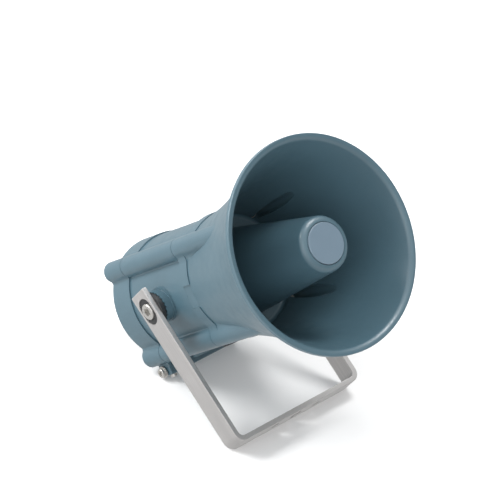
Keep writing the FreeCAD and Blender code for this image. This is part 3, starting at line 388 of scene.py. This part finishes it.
@dataclass
class Palette:
    """The finishes, each made a material once and found by the record's slot."""

    casing: CasingFrame
    materials: dict[str, bpy.types.Material] = field(default_factory=dict)

    def finishes(self) -> dict[str, Finish]:
        """Finish of each material slot of the record."""
        return {
            "casing_grp": MouldedFinish("moulded blue-grey", srgb(72, 99, 111)),
            "cap_grey": MouldedFinish("pale cap", srgb(104, 124, 139), roughness=0.4, cloud=0.02),
            "bracket_steel": BrushedFinish("brushed bar", srgb(188, 186, 185), turn=self.casing.bracket_turn(),
                                           roughness=0.44, metallic=0.7),
            "stainless_steel": BrushedFinish("bright steel", srgb(192, 190, 186), stretch=(300.0, 300.0, 300.0),
                                             roughness=0.3, lines=0.04, depth=0.04, metallic=0.75),
            # The near-black colour of this steel is painted shade: it darkens the earth terminal's lock washer, so
            # that the gap between washer and block, which is only in shade, renders black.
            "dark_steel": PlainFinish("dark steel as painted gap shade", srgb(38, 38, 40), 0.45, 0.8),
            "ratchet_plastic": MouldedFinish("black ratchet", srgb(30, 32, 34), roughness=0.5),
            "seal_rubber": PlainFinish("black rubber", srgb(24, 24, 25), 0.7),
            "insert_brass": PlainFinish("turned brass", srgb(196, 164, 96), 0.3, 1.0),
            "driver_aluminium": PlainFinish("cast aluminium", srgb(186, 188, 190), 0.45, 1.0),
            "driver_plastic": PlainFinish("black plug plastic", srgb(30, 30, 32), 0.5),
            "diaphragm_film": PlainFinish("brown film", srgb(118, 84, 50), 0.35),
            "coil_copper": PlainFinish("enamelled copper", srgb(168, 96, 52), 0.35, 0.6),
            "plated_steel": PlainFinish("zinc plate", srgb(178, 178, 172), 0.4, 0.9),
            "ferrite": PlainFinish("grey ferrite", srgb(52, 52, 55), 0.6),
            "core_steel": PlainFinish("laminated steel", srgb(92, 92, 95), 0.5, 0.7),
            "terminal_plastic": PlainFinish("grey terminal plastic", srgb(150, 150, 146), 0.45),
            "plug_plastic": PlainFinish("black plug", srgb(36, 37, 40), 0.42),
        }

    def build(self) -> None:
        """Makes every finish a material."""
        for slot, finish in self.finishes().items():
            self.materials[slot] = finish.material()
            log.info("finish %s for %s", finish.name, slot)

    def dress(self, piece: bpy.types.Object, slot: str) -> None:
        """Gives a piece the material of a slot, in place of what it had."""
        piece.data.materials.clear()
        piece.data.materials.append(self.materials[slot])


def slots_of_nodes() -> dict[str, str]:
    """Material slot of each node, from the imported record."""
    return {part["node"]: part["material_slot"] for part in frame["record"]["subparts"]}


def body_of_nodes() -> dict[str, str]:
    """Body of each node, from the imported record."""
    bodies = frame["record"]["behaviour"]["bodies"]
    return {node: body for body, members in bodies.items() for node in members}


@dataclass
class Assembly:
    """A group of nodes, each shown by a smooth copy that is dressed from the palette."""

    palette: Palette
    nodes: tuple[str, ...] = ()
    merge_distance: float = 2e-6
    smooth_angle: float = math.radians(32.0)

    def merged(self, node: str, name: str) -> bpy.types.Mesh:
        """Copy of a node's loose triangles, with its doubles merged.

        The corner normals that came with the triangles go, because they no longer fit.

        Args:
            node: The node's name.
            name: The new mesh's name.

        Returns:
            The mesh, smoothly shaded up to the sharpest fold allowed.
        """
        mesh = frame["nodes"][node].data.copy()
        mesh.name = name
        work = bmesh.new()
        work.from_mesh(mesh)
        bmesh.ops.remove_doubles(work, verts=work.verts, dist=self.merge_distance)
        work.to_mesh(mesh)
        work.free()
        mesh.attributes.remove(mesh.attributes["custom_normal"])
        mesh.shade_smooth()
        mesh.set_sharp_from_angle(angle=self.smooth_angle)
        return mesh

    def skin(self, node: str) -> bpy.types.Object:
        """Smooth copy that stands for a node.

        Args:
            node: The node's name.

        Returns:
            The new piece.
        """
        name = node + "_skin"
        piece = linked(name, self.merged(node, name))
        piece.modifiers.new("even shading", "WEIGHTED_NORMAL").keep_sharp = True
        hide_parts(node)
        return piece

    def settle(self, piece: bpy.types.Object, node: str) -> None:
        """Lets a piece ride on its node's body, with the node's finish.

        Args:
            piece: The piece.
            node: Name of the node that it stands for.
        """
        slot = slots_of_nodes()[node]
        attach(piece, body_of_nodes()[node])
        self.palette.dress(piece, slot)
        log.info("%s stands for %s", piece.name, node)

    def build(self) -> None:
        """Shows a dressed copy of each node."""
        for node in self.nodes:
            self.settle(self.skin(node), node)


@dataclass
class Horn(Assembly):
    """The flare with its columns and tool channels, the reflector, the throat and their screws."""

    nodes: tuple[str, ...] = ("horn_flare", "horn_reflector", "reflector_end_cap", "horn_screws",
                              "horn_screw_washers", "throat_tube", "throat_screws")


@dataclass
class Casing(Assembly):
    """The body, the rear cover, its screws, the plugged entry and the earth terminal."""

    nodes: tuple[str, ...] = ("body_housing", "rear_cover", "rear_cover_screws", "rear_cover_screw_washers",
                              "cable_entry_plug", "cable_entry_plug_washer", "earth_screw", "earth_washer",
                              "earth_lock_washer", "chin_screw")


@dataclass
class Bracket(Assembly):
    """The bar, its toothed discs and the pivot screws."""

    nodes: tuple[str, ...] = ("u_bracket", "tilt_ratchets", "pivot_screws", "pivot_spring_washers")


@dataclass
class Inside(Assembly):
    """Everything within the casing, shown as the frame gives it."""

    def build(self) -> None:
        """Dresses each node that nothing else stands for."""
        slots = slots_of_nodes()
        for name, node in frame["nodes"].items():
            if not node.hide_render:
                self.palette.dress(node, slots[name])
                log.info("dressed %s", name)


@dataclass(frozen=True)
class Lamp:
    """A square soft lamp that faces the part; one that isn't reflected gives no sheen."""

    name: str
    place: Triple
    size: float
    power: float
    reflected: bool = True

    def build(self, aim: Vector) -> None:
        """Makes the lamp.

        Args:
            aim: The point that it faces.
        """
        lamp = bpy.data.lights.new(self.name, "AREA")
        lamp.size = self.size
        lamp.energy = self.power
        holder = linked(self.name, lamp)
        holder.location = self.place
        holder.rotation_euler = (aim - Vector(self.place)).to_track_quat("-Z", "Y").to_euler()
        holder.visible_glossy = self.reflected


@dataclass
class Studio:
    """White floor, soft lamps and the camera."""

    pivot: Triple
    aim_from_pivot: Triple = (0.03904, -0.01375, 0.02551)
    azimuth: float = 44.36
    elevation: float = 34.39
    roll: float = 2.10
    distance: float = 3.458
    lens: float = 258.15
    sensor: float = 36.0
    far_clip: float = 50.0
    sky_side: Triple = (-0.5, -0.3, 0.8)
    sky_span: tuple[float, float] = (-0.3, 0.8)
    sky_light: float = 0.78
    horizon_light: float = 0.6
    bright_side: Triple = (-0.55, 0.35, 0.75)
    bright_span: tuple[float, float] = (-0.3, 0.4)
    bright_reflection: float = 1.0
    dark_reflection: float = 0.12
    floor_white: float = 0.85
    floor_glow: float = 0.06
    floor_mirror: float = 0.68
    floor_size: float = 8.0
    lamps: tuple[Lamp, ...] = (
        Lamp("key", (-1.2, 1.5, 1.6), 1.1, 57.0),
        Lamp("left", (-2.1, -0.7, 1.3), 1.3, 6.0),
        Lamp("fill", (-1.4, -1.7, 1.4), 1.3, 14.0, reflected=False),
        Lamp("top", (0.8, 0.1, 2.3), 0.8, 28.0),
    )

    def build(self) -> None:
        """Makes the world, the floor, the lamps and the camera."""
        bpy.context.scene.view_settings.view_transform = "Standard"
        aim = Vector(self.pivot) + Vector(self.aim_from_pivot)
        self.make_world()
        self.make_floor()
        for lamp in self.lamps:
            lamp.build(aim)
        self.make_camera(aim)
        log.info("studio with %d lamps", len(self.lamps))

    def make_world(self) -> None:
        """World that is white to the camera, a dim sky as a light, and bright behind in reflections.

        Its strength follows the direction: the sky's light falls from the zenith to the
        horizon, and what the surfaces reflect falls from far behind the part to the near right.
        """
        world = bpy.data.worlds.new("studio")
        bpy.context.scene.world = world
        nodes = Nodes.of(world)
        direction = nodes.add("ShaderNodeTexCoord").outputs["Generated"]
        sky = nodes.along(direction, self.sky_side, self.sky_span, (self.horizon_light, self.sky_light))
        mirror = nodes.along(direction, self.bright_side, self.bright_span,
                             (self.dark_reflection, self.bright_reflection))
        unseen = nodes.add("ShaderNodeMix")
        nodes.link(nodes.is_ray(Ray.GLOSSY), unseen.inputs["Factor"])
        nodes.link(sky, unseen.inputs["A"])
        nodes.link(mirror, unseen.inputs["B"])
        strength = nodes.add("ShaderNodeMix")
        nodes.link(nodes.is_ray(Ray.CAMERA), strength.inputs["Factor"])
        nodes.link(unseen.outputs["Result"], strength.inputs["A"])
        strength.inputs["B"].default_value = 1.0
        background = nodes.add("ShaderNodeBackground")
        background.inputs["Color"].default_value = (1.0, 1.0, 1.0, 1.0)
        nodes.link(strength.outputs["Result"], background.inputs["Strength"])
        nodes.link(background.outputs[0], nodes.add("ShaderNodeOutputWorld").inputs["Surface"])

    def floor_material(self) -> bpy.types.Material:
        """White that keeps its shadow and shows an even white in reflections.

        The camera sees the lit floor with a little glow added, so that only the shadow is
        darker than white.
        """
        material = bpy.data.materials.new("white floor")
        nodes = Nodes.of(material)
        diffuse = nodes.add("ShaderNodeBsdfDiffuse")
        diffuse.inputs["Color"].default_value = (*[self.floor_white] * 3, 1.0)
        seen = nodes.add("ShaderNodeMath", operation="MULTIPLY")
        seen.inputs[1].default_value = self.floor_glow
        nodes.link(nodes.is_ray(Ray.CAMERA), seen.inputs[0])
        glow = nodes.add("ShaderNodeEmission")
        nodes.link(seen.outputs["Value"], glow.inputs["Strength"])
        lit = nodes.add("ShaderNodeAddShader")
        nodes.link(diffuse.outputs["BSDF"], lit.inputs[0])
        nodes.link(glow.outputs["Emission"], lit.inputs[1])
        mirrored = nodes.add("ShaderNodeEmission")
        mirrored.inputs["Strength"].default_value = self.floor_mirror
        mix = nodes.add("ShaderNodeMixShader")
        nodes.link(nodes.is_ray(Ray.GLOSSY), mix.inputs["Fac"])
        nodes.link(lit.outputs["Shader"], mix.inputs[1])
        nodes.link(mirrored.outputs["Emission"], mix.inputs[2])
        nodes.link(mix.outputs["Shader"], nodes.add("ShaderNodeOutputMaterial").inputs["Surface"])
        return material

    def make_floor(self) -> None:
        """Square floor under the part: half the size to each side of the origin."""
        corners = np.array([[-1, -1, 0], [1, -1, 0], [1, 1, 0], [-1, 1, 0]]) * self.floor_size / 2
        mesh = bpy.data.meshes.new("floor")
        mesh.from_pydata(corners.tolist(), [], [(0, 1, 2, 3)])
        mesh.materials.append(self.floor_material())
        floor = linked("floor", mesh)

    def make_camera(self, aim: Vector) -> None:
        """Camera on the line of sight, rolled a little about it.

        Args:
            aim: The point that it faces.
        """
        azimuth, elevation = math.radians(self.azimuth), math.radians(self.elevation)
        ahead = Vector((math.sin(azimuth) * math.cos(elevation), math.cos(azimuth) * math.cos(elevation),
                        -math.sin(elevation)))
        lens = bpy.data.cameras.new("camera")
        lens.lens = self.lens
        lens.sensor_width = self.sensor
        lens.clip_end = self.far_clip
        camera = linked("camera", lens)
        camera.location = aim - ahead * self.distance
        level = ahead.to_track_quat("-Z", "Y").to_matrix()
        camera.rotation_euler = (level @ Matrix.Rotation(math.radians(self.roll), 3, "Z")).to_euler()
        bpy.context.scene.camera = camera


def main() -> None:
    """Dresses each assembly in turn and builds the studio around them."""
    logging.basicConfig(level=logging.INFO)
    palette = Palette(CasingFrame.from_joints(frame["joints"]))
    palette.build()
    for assembly in (Horn, Casing, Bracket, Inside):
        assembly(palette).build()
        log.info("built %s", assembly.__name__)
    tilt = next(joint for joint in frame["joints"] if joint["name"] == "bracket_tilt")
    Studio(tuple(tilt["pos_m"])).build()


if __name__ == "__main__":
    main()
